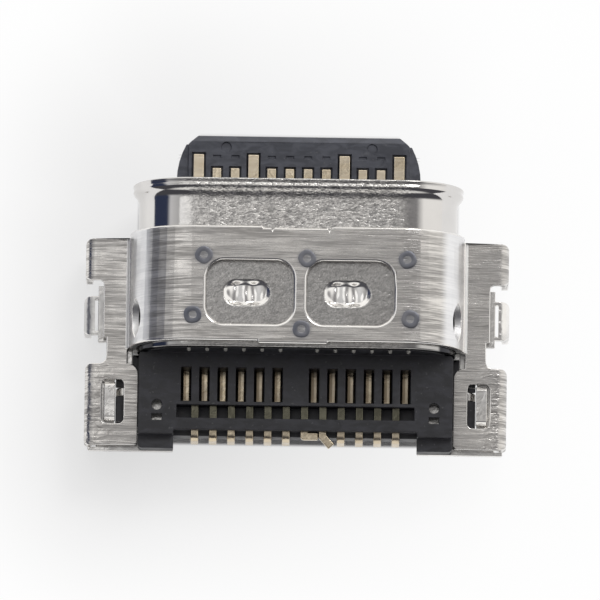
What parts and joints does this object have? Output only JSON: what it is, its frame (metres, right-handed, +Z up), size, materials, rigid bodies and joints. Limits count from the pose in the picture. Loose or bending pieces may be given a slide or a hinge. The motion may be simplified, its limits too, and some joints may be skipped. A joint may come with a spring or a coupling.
{
  "type": "usb-c socket",
  "caption": "Board-mounted plug socket with an oval drawn steel shell, welded outer and lower brackets with solder legs, and a moulded tongue carrying rows of gilt contacts.",
  "frame": {"origin": "centre of the mouth, on the shell's axis, in the plane of the flared rim", "axes": "+Y out of the mouth along the shell's axis, +X across the width, +Z up from the board"},
  "size_m": [0.0116, 0.0087, 0.0034],
  "materials": {
    "shell_steel": "drawn, with a fine orange-peel surface",
    "bracket_steel": "brushed across, with bright sheared edges",
    "plate_steel": "rolled, satin",
    "black_nylon": "moulded, fine matt grain",
    "carrier_nylon": "moulded, hidden",
    "gilt_contact": "gold plated, softly worn"
  },
  "bodies": {
    "root": {"inner_shell": "shell_steel", "outer_bracket": "bracket_steel", "lower_bracket": "plate_steel", "housing": "black_nylon", "mid_plate": "plate_steel", "upper_carrier": "carrier_nylon", "lower_carrier": "carrier_nylon", "contact_a01": "gilt_contact", "contact_a02": "gilt_contact", "contact_a03": "gilt_contact", "contact_a04": "gilt_contact", "contact_a05": "gilt_contact", "contact_a06": "gilt_contact", "contact_a07": "gilt_contact", "contact_a08": "gilt_contact", "contact_a09": "gilt_contact", "contact_a10": "gilt_contact", "contact_a11": "gilt_contact", "contact_a12": "gilt_contact", "contact_b01": "gilt_contact", "contact_b02": "gilt_contact", "contact_b03": "gilt_contact", "contact_b04": "gilt_contact", "contact_b05": "gilt_contact", "contact_b06": "gilt_contact", "contact_b07": "gilt_contact", "contact_b08": "gilt_contact", "contact_b09": "gilt_contact", "contact_b10": "gilt_contact", "contact_b11": "gilt_contact", "contact_b12": "gilt_contact"}
  },
  "joints": []
}
